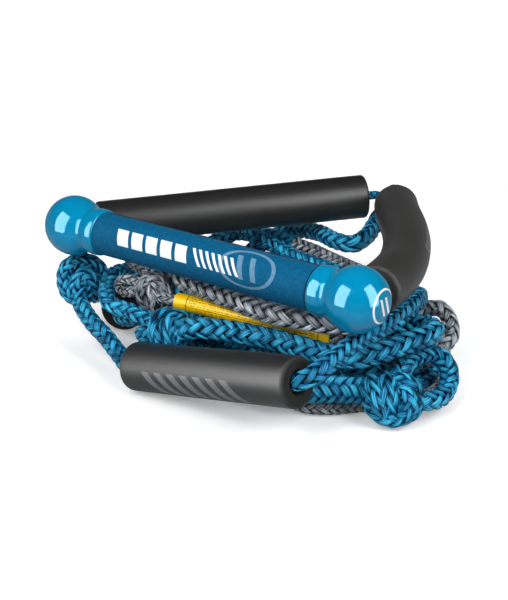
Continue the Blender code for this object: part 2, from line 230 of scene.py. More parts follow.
def braid_material(name, painted_shade, mid, painted_highlight, roughness):
    """Braided strands of fine filaments, with painted shade in the gaps and a painted highlight along
    the crests.
    """
    n = Nodes(name)
    fibre = n.attribute("fibre")
    painted_light_level = n.attribute("painted_light_level", "Fac")
    random = n.split(fibre)[2]
    fine = n.smooth(n.noise(n.scaled(fibre, (0.10, 7.0, 31.0)), 1.0, 2.0, 0.6), 0.30, 0.70)
    bundle = n.smooth(n.noise(n.scaled(fibre, (0.07, 2.0, 17.0)), 1.0, 1.0), 0.32, 0.68)
    patch = n.noise(n.scaled(fibre, (0.07, 0.35, 11.0)), 1.0, 1.0)
    tone_and_painted_light = n.times(painted_light_level, 0.8)
    for field, weight in ((fine, 0.40), (bundle, 0.40), (random, 0.22), (patch, 0.9)):
        tone_and_painted_light = n.plus(tone_and_painted_light, n.times(n.minus(field, 0.5), weight))
    # Painted shade below the mid colour and a painted highlight above it, mixed with the fibre noise's
    # own tone that differs at random.
    low = n.mix(n.smooth(tone_and_painted_light, 0.16, 0.62), painted_shade, mid)
    colour = n.mix(n.smooth(tone_and_painted_light, 0.58, 1.10), low, painted_highlight)
    height = n.plus(n.times(fine, 0.35), n.times(bundle, 0.65))
    return n.surface(Base_Color=colour, Roughness=n.plus(n.times(fine, 0.16), roughness - 0.10),
                     Normal=n.bump(height, 1.0, 0.0005), Specular_IOR_Level=0.75,
                     Specular_Tint=tuple(0.10 + 0.90 * c / max(painted_highlight) for c in painted_highlight))


def foam_fields(n, colour):
    """Closed-cell foam's shade, normal, grain and skin: fine outside, open pores on the cut faces, with
    painted shade in the pores.
    """
    skin = n.split(n.attribute("skin"))
    cut_face = skin[2]
    where = n.here()
    grain = n.noise(where, 2600.0, 3.0, 0.7)
    broad = n.noise(where, 60.0, 2.0)
    pores = n.add("ShaderNodeTexVoronoi", {"Vector": where, "Scale": 1500.0, "Randomness": 1.0})
    pore = n.smooth(pores.outputs["Distance"], 0.15, 0.55)
    height = n.plus(n.times(grain, 0.5), n.times(n.times(pore, cut_face), 3.5))
    shade = n.mix(n.times(broad, 0.5), colour, tuple(c * 1.5 for c in colour))
    shade = n.mix(cut_face, shade, tuple(c * 1.9 for c in colour))
    # Painted shade: the pores on the cut faces are darkened, as shade in their hollows.
    shade = n.mix(n.times(cut_face, n.smooth(pore, 0.2, 0.9, 0.9, 0.0)), shade,
                  tuple(c * 0.25 for c in colour))
    return shade, n.bump(height, 0.5, 0.0004), grain, skin


def print_bars(n, along, around, start, pitch, count, width, half, slant):
    """A mask of slanted bars, in millimetres along and around."""
    moved = n.minus(n.plus(along, n.times(around, slant)), start)
    cell = n.math("MODULO", n.plus(moved, pitch * 100.0), pitch)
    inside = n.smooth(n.distance(cell, pitch / 2), width / 2 + 0.12, width / 2 - 0.12)
    inside = n.times(inside, n.smooth(moved, -0.05, 0.05))
    inside = n.times(inside, n.smooth(moved, pitch * count + 0.05, pitch * count - 0.05))
    return n.times(inside, n.smooth(n.distance(around), half + 0.15, half - 0.15))


def float_material(name, bars=None, colour=FOAM_COLOUR):
    """Foam, with a block of plain printed bars if there are any."""
    n = Nodes(name)
    shade, normal, grain, (along, arc, cut_face) = foam_fields(n, colour)
    if bars:
        layout = dict(bars)
        mask = print_bars(n, along, n.minus(arc, layout.pop("around")), **layout)
        mask = n.times(mask, n.minus(1.0, cut_face))
        shade = n.mix(n.times(mask, n.smooth(grain, 0.1, 0.5, 0.8, 1.0)), shade, BAR_COLOUR)
    return n.surface(Base_Color=shade, Roughness=n.plus(0.40, n.times(cut_face, 0.4)),
                     Normal=normal, Specular_IOR_Level=n.minus(0.55, n.times(cut_face, 0.45)))


# ---------------------------------------------------------------- paths
def smooth_route(points, step):
    """Points a step apart along a smooth curve through the route's own points, as an array."""
    knots = [Vector(p) for p in points]
    knots = [knots[0] * 2 - knots[1]] + knots + [knots[-1] * 2 - knots[-2]]
    fine = []
    for before, start, end, after in zip(knots, knots[1:], knots[2:], knots[3:]):
        t1 = (start - before).length ** 0.5
        t2 = t1 + (end - start).length ** 0.5
        t3 = t2 + (after - end).length ** 0.5
        for i in range(16):
            t = t1 + (t2 - t1) * i / 16
            a1 = before.lerp(start, t / t1)
            a2 = start.lerp(end, (t - t1) / (t2 - t1))
            a3 = end.lerp(after, (t - t2) / (t3 - t2))
            b1 = a1.lerp(a2, t / t2)
            b2 = a2.lerp(a3, (t - t1) / (t3 - t1))
            fine.append(b1.lerp(b2, (t - t1) / (t2 - t1)))
    fine.append(knots[-2])
    return resample(np.array([tuple(p) for p in fine]), step)


def lengths_along(line):
    """Distance of each point from the line's start."""
    return np.concatenate([[0.0], np.cumsum(np.linalg.norm(np.diff(line, axis=0), axis=1))])


def resample(line, step):
    """The line with its points evenly spaced."""
    along = lengths_along(line)
    wanted = np.linspace(0.0, along[-1], max(3, round(along[-1] / step) + 1))
    return np.stack([np.interp(wanted, along, line[:, i]) for i in range(3)], axis=1)


def frames(line, hint):
    """Tangent, side and up at each point, carried along without twist from the hint direction."""
    tangent = np.gradient(line, axis=0)
    tangent /= np.linalg.norm(tangent, axis=1)[:, None]
    up = np.array(hint, float)
    up -= tangent[0] * up.dot(tangent[0])
    if np.linalg.norm(up) < 1e-3:
        up = np.cross(tangent[0], (1.0, 0.3, 0.2))
    up /= np.linalg.norm(up)
    ups = [up]
    for t in tangent[1:]:
        up = up - t * up.dot(t)
        up = up / np.linalg.norm(up)
        ups.append(up)
    ups = np.array(ups)
    return tangent, np.cross(tangent, ups), ups


class Path:
    """A line with frames that can be read at any distance along it."""

    def __init__(self, line, hint=(0.0, 0.0, 1.0)):
        self.line = resample(line, 0.8)
        self.along = lengths_along(self.line)
        self.length = self.along[-1]
        self.tangent, self.side, self.up = frames(self.line, hint)

    def at(self, s, across, up):
        """Points at distance s, moved across and up in the frame there."""
        s = np.asarray(s, float)
        beyond = s - np.clip(s, 0.0, self.length)
        def read(field):
            return np.stack([np.interp(s, self.along, field[:, i]) for i in range(3)], axis=-1)
        return (read(self.line) + read(self.tangent) * beyond[..., None]
                + read(self.side) * across[..., None] + read(self.up) * up[..., None])


# ---------------------------------------------------------------- meshes
def new_object(name, verts, faces, material, fields=None, body=ROOT):
    """A smooth mesh object from layout millimetres, with fields on its points, riding on a body."""
    mesh = bpy.data.meshes.new(name)
    verts = (np.asarray(verts, float) - np.array(ORIGIN)) * MM
    mesh.from_pydata(verts.tolist(), [], faces)
    for key, values in (fields or {}).items():
        values = np.asarray(values, np.float32)
        kind = "FLOAT" if values.ndim == 1 else "FLOAT_VECTOR"
        layer = mesh.attributes.new(key, kind, "POINT")
        layer.data.foreach_set("value" if kind == "FLOAT" else "vector", values.ravel())
    mesh.update()
    mesh.shade_smooth()
    made = bpy.data.objects.new(name, mesh)
    bpy.context.scene.collection.objects.link(made)
    mesh.materials.append(material)
    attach(made, body)
    return made


def dress(node):
    """The piece stands for a CAD node, which is hidden."""
    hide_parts(node)


def face_outward(mesh, merge=False):
    """Turns a closed mesh's faces outward, after merging coinciding points if asked."""
    work = bmesh.new()
    work.from_mesh(mesh)
    if merge:
        bmesh.ops.remove_doubles(work, verts=work.verts, dist=1e-7)
        bmesh.ops.dissolve_degenerate(work, edges=work.edges, dist=1e-8)
    bmesh.ops.recalc_face_normals(work, faces=work.faces)
    work.to_mesh(mesh)
    work.free()


def ring_quads(rows, columns, closed=False):
    """Quads between neighbouring rings of points, and from the last back to the first if closed."""
    row = np.arange(rows if closed else rows - 1)[:, None]
    here, there = row * columns, (row + 1) % rows * columns
    c = np.arange(columns)[None, :]
    n = (c + 1) % columns
    return np.stack([here + c, here + n, there + n, there + c], axis=-1).reshape(-1, 4)


def tube_faces(rows, columns, start):
    """Faces of a tube of rings with flat ends."""
    faces = (ring_quads(rows, columns) + start).tolist()
    faces.append([start + i for i in range(columns - 1, -1, -1)])
    faces.append([start + (rows - 1) * columns + i for i in range(columns)])
    return faces


# A braid's strand: its thickness as a share of the rope, how far it weaves in and out as a share
# of its thickness, how sharply it dips, and how far apart the strands' fibre patterns are.
STRAND_THICKNESS = 0.092
WEAVE_DEPTH = 0.62
WEAVE_SHARPNESS = 1.7
FIBRE_SHIFT = 300.0
CORE_SECTION = 10
# The core's painted light level: deep painted shade inside the braid, seen through its gaps.
CORE_PAINTED_SHADE = -0.6


def braid_data(path, diameter, flat=1.0, strands=6, section=8, step=1.25, lay_angle=36.0,
               wide=0.86, seed=1, start=0):
    """Points, faces, fibre data and painted light levels of a hollow braid of twice that many flat
    strands.

    Each strand runs over two and under two, round a core painted dark as shade. The light level painted
    on each point is painted shade at the strand's edges and where it dives under, and a painted
    highlight on top. flat squeezes the braid along the path's up direction, with the strand count and
    step kept.
    """
    source = rng(seed)
    thick = diameter * STRAND_THICKNESS * (6.0 / strands) ** 0.5
    wave = thick * WEAVE_DEPTH
    middle = diameter / 2 - wave - thick / 2
    angle = math.radians(lay_angle)
    pitch = 2 * math.pi * middle / math.tan(angle)
    width = 2 * math.pi * middle * math.cos(angle) / strands * wide
    count = max(6, int(round(path.length / step)))
    s = np.linspace(0.0, path.length, count)
    ring = np.linspace(0.0, 2 * math.pi, section, endpoint=False)
    cos_ring = np.sign(np.cos(ring)) * np.abs(np.cos(ring)) ** 0.6
    across = cos_ring[None, :] * width / 2
    rise = np.sin(ring)[None, :] * thick / 2
    verts, faces, fibre, painted_light_level = [], [], [], []
    for turn in (1, -1):
        for k in range(strands):
            jitter = source.normal(0.0, 1.0, 4)
            random = source.random()
            wobble = 0.05 * np.sin(s / (9.0 + 4.0 * random) + jitter[0] * 3.0)
            theta = turn * 2 * math.pi * s / pitch + 2 * math.pi * (k + wobble) / strands
            crossings = turn * 2 * strands * s / pitch
            weave = turn * np.cos(math.pi / 2 * (2 * k + crossings - 0.5))
            weave = np.tanh(WEAVE_SHARPNESS * weave) / math.tanh(WEAVE_SHARPNESS)
            r = middle + wave * weave
            breadth = 1.0 + 0.12 * np.sin(s / (6.0 + 3.0 * source.random()) + jitter[1] * 3)
            breadth = breadth * (0.90 + 0.10 * weave)
            x = across * breadth[:, None]
            s_at = s[:, None] - turn * x * math.sin(angle)
            theta_at = theta[:, None] + x * math.cos(angle) / middle
            dome = 1.0 - 0.30 * (x / (width / 2)) ** 2
            r_at = r[:, None] + rise * dome
            s_at = np.clip(s_at, 0.0, path.length)
            points = path.at(s_at, r_at * np.cos(theta_at), r_at * np.sin(theta_at) * flat)
            faces += tube_faces(count, section, start + sum(len(v) for v in verts))
            verts.append(points.reshape(-1, 3))
            stretch = np.repeat((s / math.cos(angle))[:, None], section, axis=1)
            fibre.append(np.stack([stretch + random * FIBRE_SHIFT, x + 0.0 * stretch + rise * 0.7,
                                   np.full_like(stretch, random)], axis=-1).reshape(-1, 3))
            # Painted light level: a painted highlight on top of each crossing, painted shade where the
            # strand dives under and along its edges.
            height = 0.55 + 0.45 * weave[:, None] + 0.12 * np.sin(ring)[None, :]
            height = height - 0.30 * np.abs(cos_ring)[None, :] ** 4
            painted_light_level.append(height.reshape(-1))
    core_ring = np.linspace(0.0, 2 * math.pi, CORE_SECTION, endpoint=False)[None, :]
    core_s = np.linspace(0.0, path.length, max(4, count // 2))[:, None]
    core_r = middle - wave * 0.9
    core = path.at(core_s + 0.0 * core_ring, core_r * np.cos(core_ring) + 0.0 * core_s,
                   core_r * np.sin(core_ring) * flat + 0.0 * core_s)
    faces += tube_faces(core.shape[0], CORE_SECTION, start + sum(len(v) for v in verts))
    verts.append(core.reshape(-1, 3))
    fibre.append(np.zeros((core.shape[0] * CORE_SECTION, 3)))
    painted_light_level.append(np.full(core.shape[0] * CORE_SECTION, CORE_PAINTED_SHADE))
    return np.concatenate(verts), faces, np.concatenate(fibre), np.concatenate(painted_light_level)


def braid(name, line, diameter, material, hint=(0.0, 0.0, 1.0), **more):
    """One braided rope along a line."""
    path = Path(line, hint)
    verts, faces, fibre, painted_light_level = braid_data(path, diameter, **more)
    made = new_object(name, verts, faces, material, {"fibre": fibre, "painted_light_level": painted_light_level})
    return made, path


def turned(name, profile, centre, axis, material, segments):
    """A closed profile of (radius, height) pairs turned round an axis along x."""
    axis = Vector(axis)
    side = Vector((0.0, 0.0, 1.0))
    other = axis.cross(side)
    verts = []
    for radius, height in profile:
        for angle in np.linspace(0.0, 2 * math.pi, segments, endpoint=False):
            verts.append(Vector(centre) + axis * height
                         + (side * math.cos(angle) + other * math.sin(angle)) * radius)
    faces = ring_quads(len(profile), segments, closed=True).tolist()
    made = new_object(name, [tuple(v) for v in verts], faces, material)
    face_outward(made.data, merge=True)
    made.data.shade_smooth()
    return made


def foam_profile(length, radius, bore, rim, lip):
    """(distance, radius, cut face) rows all round the wall of a bored tube with soft rims."""
    def quarter(steps):
        return [math.pi / 2 * i / steps for i in range(1, steps + 1)]
    face = [(r, 1.0) for r in np.linspace(bore + lip, radius - rim, 7)]
    corner = [(rim * (1 - math.cos(a)), radius - rim + rim * math.sin(a), 1.0 - i / 6.0)
              for i, a in enumerate(quarter(6), 1)]
    mouth = [(lip * math.sin(a), bore + lip * (1 - math.sin(a)), 1.0) for a in quarter(3)]
    skin_rows = np.linspace(rim, length - rim, max(3, int((length - 2 * rim) / 3.0)))[1:-1]
    bore_rows = np.linspace(length - lip, lip, max(3, int(length / 8.0)))[1:-1]
    rows = [(0.0, r, cut) for r, cut in face] + corner
    rows += [(s, radius, 0.0) for s in skin_rows]
    rows += [(length - s, r, cut) for s, r, cut in reversed(corner)]
    rows += [(length, r, cut) for r, cut in reversed(face)]
    rows += [(length - s, r, cut) for s, r, cut in mouth]
    rows += [(s, bore, 1.0) for s in bore_rows]
    rows += list(reversed(mouth))
    return np.array(rows)


def foam_tube(name, line, material, radius, bore, body, seed, segments=72, hint=(0, 0, 1),
              rim=2.4, lip=1.0, uneven_by=0.05):
    """A foam float swept along a line: soft rims, a bore right through, a slightly uneven skin."""
    path = Path(line, hint)
    source = rng(seed)
    rows = foam_profile(path.length, radius, bore, rim, lip)
    angle = np.linspace(0.0, 2 * math.pi, segments, endpoint=False)[None, :]
    s, r, cut_face = (rows[:, i:i + 1] + 0.0 * angle for i in range(3))
    uneven = np.zeros_like(s)
    for _ in range(7):
        k, m, p = source.uniform(0.02, 0.09), source.integers(1, 4), source.uniform(0, 6.28, 2)
        uneven += np.sin(s * k + p[0]) * np.cos(angle * m + p[1])
    outer = np.clip((r - bore - 3.0) / 4.0, 0.0, 1.0)
    r = r - outer * (3.0 + uneven) * uneven_by
    verts = path.at(s, r * np.cos(angle), r * np.sin(angle)).reshape(-1, 3)
    arc = (angle - math.pi / 2 + math.pi) % (2 * math.pi) - math.pi
    skin = np.stack([s, arc * radius + 0.0 * s, cut_face], axis=-1).reshape(-1, 3)
    faces = ring_quads(len(rows), segments, closed=True).tolist()
    made = new_object(name, verts, faces, material, {"skin": skin}, body)
    face_outward(made.data)
    return made


# ---------------------------------------------------------------- handle
def cap_profile():
    """The outline of an end cap: flattened bulb, waist, collar, tube socket and rope cavity."""
    start = math.acos(BULB_FLAT / BULB_RADIUS)
    end = math.acos(BULB_END / BULB_RADIUS)
    bulb = []
    for i in range(6):
        bulb.append((BULB_RADIUS * math.sin(start) * (i + 0.2) / 6.0, BULB_FLAT))
    for i in range(40):
        angle = start + (end - start) * i / 39
        bulb.append((BULB_RADIUS * math.sin(angle), BULB_RADIUS * math.cos(angle)))
    collar = [
        (WAIST_RADIUS + 0.75, -13.0), (WAIST_RADIUS + 0.3, -13.9), (WAIST_RADIUS + 0.05, -14.8),
        (WAIST_RADIUS, -15.6), (WAIST_RADIUS + 0.12, -16.5), (WAIST_RADIUS + 0.42, -17.5),
        (COLLAR_RADIUS - 0.14, -18.6), (COLLAR_RADIUS, -19.8), (COLLAR_RADIUS, -22.0),
        (COLLAR_RADIUS - 0.05, -24.3), (COLLAR_RADIUS - 0.25, -25.2), (COLLAR_RADIUS - 0.6, -25.9),
        (COLLAR_RADIUS - 1.1, -SEAM_FROM_BULB + 0.15),
    ]
    socket = [
        (TUBE_RADIUS + 0.3, -SEAM_FROM_BULB + 0.15), (TUBE_RADIUS + 0.3, TUBE_HALF - BULB_OFFSET + 0.3),
        (8.6, TUBE_HALF - BULB_OFFSET + 0.3), (8.6, 5.5), (7.6, 6.8), (5.6, 7.5), (0.05, 7.5),
    ]
    return [(0.02, BULB_FLAT)] + bulb + collar + socket


def cut_port(cap, start, direction):
    """Cuts the rope's port out of a cap, from its middle outwards."""
    cutter_mesh = bpy.data.meshes.new("port")
    work = bmesh.new()
    bmesh.ops.create_cone(work, cap_ends=True, segments=40, radius1=PORT_RADIUS * MM,
                          radius2=PORT_RADIUS * MM, depth=PORT_LENGTH)
    work.to_mesh(cutter_mesh)
    work.free()
    cutter = bpy.data.objects.new("port", cutter_mesh)
    bpy.context.scene.collection.objects.link(cutter)
    turn = direction.to_track_quat("Z", "Y").to_matrix().to_4x4()
    middle = place(start) + direction * (PORT_LENGTH / 2 + PORT_START)
    cutter.matrix_world = Matrix.Translation(middle) @ turn
    boolean = cap.modifiers.new("port", "BOOLEAN")
    boolean.operation = "DIFFERENCE"
    boolean.solver = "EXACT"
    boolean.object = cutter
    bpy.context.view_layer.update()
    depsgraph = bpy.context.evaluated_depsgraph_get()
    mesh = bpy.data.meshes.new_from_object(cap.evaluated_get(depsgraph))
    cap.modifiers.clear()
    cap.data = mesh
    bpy.data.objects.remove(cutter)
    mesh.set_sharp_from_angle(angle=math.radians(40.0))


def cap_material():
    """Glossy moulded blue, with a plain printed ring and two bars on the right cap's outer end."""
    n = Nodes("cap_gloss")
    where = n.here()
    local = n.add("ShaderNodeVectorMath", operation="SUBTRACT")
    n.feed(local.inputs[0], where)
    local.inputs[1].default_value = place(HANDLE_CENTRE)
    x, y, z = n.split(local.outputs[0])
    ring = n.smooth(n.distance(n.root_of_squares(y, z), 0.0098), 0.00062, 0.00046)
    lean = n.plus(y, n.times(z, 0.35))
    bars = n.smooth(n.distance(n.distance(lean), 0.0024), 0.0011, 0.0009)
    bars = n.times(bars, n.smooth(n.distance(z), 0.0056, 0.0053))
    mark = n.times(n.larger(ring, bars), n.smooth(x, 0.118, 0.119))
    soft = n.noise(where, 90.0, 2.0)
    base = n.mix(n.times(soft, 0.35), (0.0, 0.205, 0.385), (0.0, 0.235, 0.43))
    colour = n.mix(mark, base, (0.85, 0.87, 0.88))
    normal = n.bump(n.noise(where, 1500.0, 2.0), 0.04, 0.0002)
    return n.surface(Base_Color=colour, Roughness=n.plus(0.05, n.times(soft, 0.05)), Normal=normal,
                     Specular_IOR_Level=0.85, Specular_Tint=(0.34, 0.66, 0.95))


def grip_material():
    """Deep blue suede-like skin, printed with plain blocks, slanted bars and a tonal oval."""
    n = Nodes("grip_skin")
    x, arc, _ = n.split(n.attribute("skin"))
    where = n.here()
    grain = n.noise(where, 1700.0, 4.0, 0.7)
    nap = n.noise(where, 420.0, 3.0, 0.6)
    broad = n.noise(where, 45.0, 2.0)
    speckle = n.plus(n.times(grain, 0.6), n.times(nap, 0.4))
    base = n.mix(n.smooth(speckle, 0.36, 0.66), (0.0, 0.054, 0.130), (0.002, 0.108, 0.225))
    base = n.mix(n.times(broad, 0.3), base, (0.0, 0.070, 0.175))
    blocks = print_bars(n, x, arc, -61.5, 11.5, 5, 8.8, 5.2, 0.22)
    bars = print_bars(n, x, arc, -0.2, 4.67, 7, 2.2, 5.2, 0.65)
    dx = n.minus(x, 39.0)
    dy = n.minus(arc, 1.2)
    ring = n.smooth(n.distance(n.root_of_squares(dx, n.times(dy, 1.62)), 19.0), 1.5, 1.1)
    lean = n.plus(dx, n.times(arc, 0.3))
    wave = n.smooth(n.distance(n.distance(lean), 4.6), 2.0, 1.7)
    wave = n.times(wave, n.smooth(n.distance(dy), 7.4, 7.1))
    tonal = n.times(n.larger(ring, wave), n.smooth(speckle, 0.2, 0.7, 0.35, 0.75))
    colour = n.mix(tonal, base, (0.19, 0.33, 0.46))
    white = n.times(n.larger(blocks, bars), n.smooth(grain, 0.15, 0.5, 0.85, 1.0))
    colour = n.mix(white, colour, (0.80, 0.84, 0.87))
    seam = n.times(n.smooth(arc, 17.4, 17.8), n.smooth(arc, 22.4, 22.0))
    # Painted shade: a dark band round each end of the grip, where it meets the cap's collar; the seam
    # line beside it is the dark foam showing in the joint.
    half = BULB_OFFSET - SEAM_FROM_BULB
    end = n.smooth(n.distance(x), half - 0.9, half - 0.6)
    colour = n.mix(n.larger(seam, end), colour, (0.008, 0.010, 0.013))
    return n.surface(Base_Color=colour, Roughness=0.75, Normal=n.bump(speckle, 0.35, 0.00025),
                     Specular_IOR_Level=0.2, Specular_Tint=(0.15, 0.55, 0.9))


def make_grip():
    """The printed skin round the grip: one sheet with its edges meeting in a fine seam."""
    half = BULB_OFFSET - SEAM_FROM_BULB - 0.15
    gap = math.radians(WRAP_GAP_DEG)
    seam = math.radians(WRAP_SEAM_ANGLE_DEG)
    front = math.radians(WRAP_FRONT_DEG)
    angles = np.linspace(seam + gap / 2, seam + 2 * math.pi - gap / 2, 120)
    along = np.concatenate([[-half, -half + 0.25], np.linspace(-half + 0.8, half - 0.8, 90),
                            [half - 0.25, half]])
    drop = np.concatenate([[0.5, 0.12], np.zeros(90), [0.12, 0.5]])
    edge = np.clip(1.0 - np.minimum(angles - angles[0], angles[-1] - angles) / math.radians(3.0), 0, 1)
    outer = WRAP_RADIUS - 0.45 * edge[None, :] ** 2 - drop[:, None]
    inner = np.full_like(outer, FOAM_RADIUS + 0.12)
    radii = np.concatenate([outer, inner[:, ::-1]], axis=1)
    turn = np.concatenate([angles, angles[::-1]])[None, :]
    x = along[:, None] + 0.0 * turn
    y = radii * np.cos(turn)
    z = radii * np.sin(turn)
    verts = np.stack([x, y, z], axis=-1).reshape(-1, 3) + np.array(HANDLE_CENTRE)
    arc = 0.0 * x - ((turn - front) % (2 * math.pi) - math.pi) * WRAP_RADIUS
    skin = np.stack([x, arc, 0.0 * x], axis=-1).reshape(-1, 3)
    rows, ring = radii.shape
    faces = ring_quads(rows, ring).tolist()
    for first in (0, (rows - 1) * ring):
        last = first + ring - 1
        faces += [[first + k, first + k + 1, last - k - 1, last - k] for k in range(len(angles) - 1)]
    made = new_object("grip_skin", verts, faces, grip_material(), {"skin": skin})
    face_outward(made.data)
    made.data.set_sharp_from_angle(angle=math.radians(50.0))
    dress("grip_wrap")


def plain_material(name, colour, roughness, metallic=0.0, scale=900.0):
    """A quiet material with a fine grain, for pieces that are mostly out of sight."""
    n = Nodes(name)
    grain = n.noise(n.here(), scale, 3.0, 0.6)
    shade = n.mix(grain, tuple(c * 0.75 for c in colour), tuple(min(1.0, c * 1.2) for c in colour))
    return n.surface(Base_Color=shade, Roughness=n.plus(roughness - 0.08, n.times(grain, 0.16)),
                     Metallic=metallic, Normal=n.bump(grain, 0.15, 0.0002))


def make_handle():
    """Both caps, the grip's skin, and materials for the CAD pieces inside."""
    gloss = cap_material()
    drop = math.radians(PORT_DROP_DEG)
    port = Vector((0.0, math.cos(drop), -math.sin(drop)))
    for side, sign in (("left", -1), ("right", 1)):
        centre = HANDLE_CENTRE + Vector((sign * BULB_OFFSET, 0.0, 0.0))
        cap = turned("cap_" + side, cap_profile(), centre, (sign, 0.0, 0.0), gloss, CAP_SEGMENTS)
        cut_port(cap, centre, port)
        dress("end_cap_" + side)
    make_grip()
    paint("grip_foam", plain_material("foam_core", (0.02, 0.02, 0.022), 0.8, 0.0, 1800.0))
    paint("handle_tube", plain_material("drawn_tube", (0.7, 0.71, 0.73), 0.3, 1.0, 500.0))
    bush = plain_material("moulded_bush", (0.03, 0.03, 0.034), 0.45)
    paint("tube_bush_left", bush)
    paint("tube_bush_right", bush)


def paint(node, material):
    """Gives a CAD node a new material."""
    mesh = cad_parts[node].data
    mesh.materials.clear()
    mesh.materials.append(material)


# ---------------------------------------------------------------- floats
def make_floats():
    """Four foam floats, two of them printed with plain bars."""
    line_bars = dict(around=-29.5, start=24.3, pitch=10.67, count=7, width=5.6, half=8.5, slant=0.8)
    right_bars = dict(around=-18.5, start=60.0, pitch=8.0, count=5, width=4.6, half=4.5, slant=0.3)
    plain = float_material("float_plain")
    barred = float_material("float_barred", line_bars)
    # The right float takes the foam colour painted lighter: painted light.
    marked_painted_lighter = float_material("float_marked_painted_lighter", right_bars, PAINTED_LIGHT_FOAM_COLOUR)
    floats = (
        ("line_float", LINE_FLOAT_ENDS, barred, "line_float", "float_line"),
        ("left_leg_float", LEFT_FLOAT_ENDS, plain, "left_leg_float", "float_left_leg"),
        ("right_leg_float", RIGHT_FLOAT_ROUTE, marked_painted_lighter, ROOT, "float_right_leg"),
        ("coil_float", COIL_FLOAT_ROUTE, plain, ROOT, "float_coil"),
    )
    for seed, (name, route, material, body, node) in enumerate(floats, 11):
        line = np.array(route, float) if len(route) == 2 else smooth_route(route, 1.0)
        piece = foam_tube(name, line, material, FLOAT_RADIUS, FLOAT_BORE, body, seed)
        dress(node)


# ---------------------------------------------------------------- ropes
# Each rope: painted shade colour, mid colour, painted highlight colour and roughness.
BLUE = braid_material("rope_blue", (0.0, 0.0008, 0.005), (0.0, 0.092, 0.250), (0.055, 0.56, 0.86),
                      0.26)
GREY = braid_material("rope_grey", (0.002, 0.003, 0.004), (0.10, 0.125, 0.15),
                      (0.64, 0.69, 0.74), 0.30)

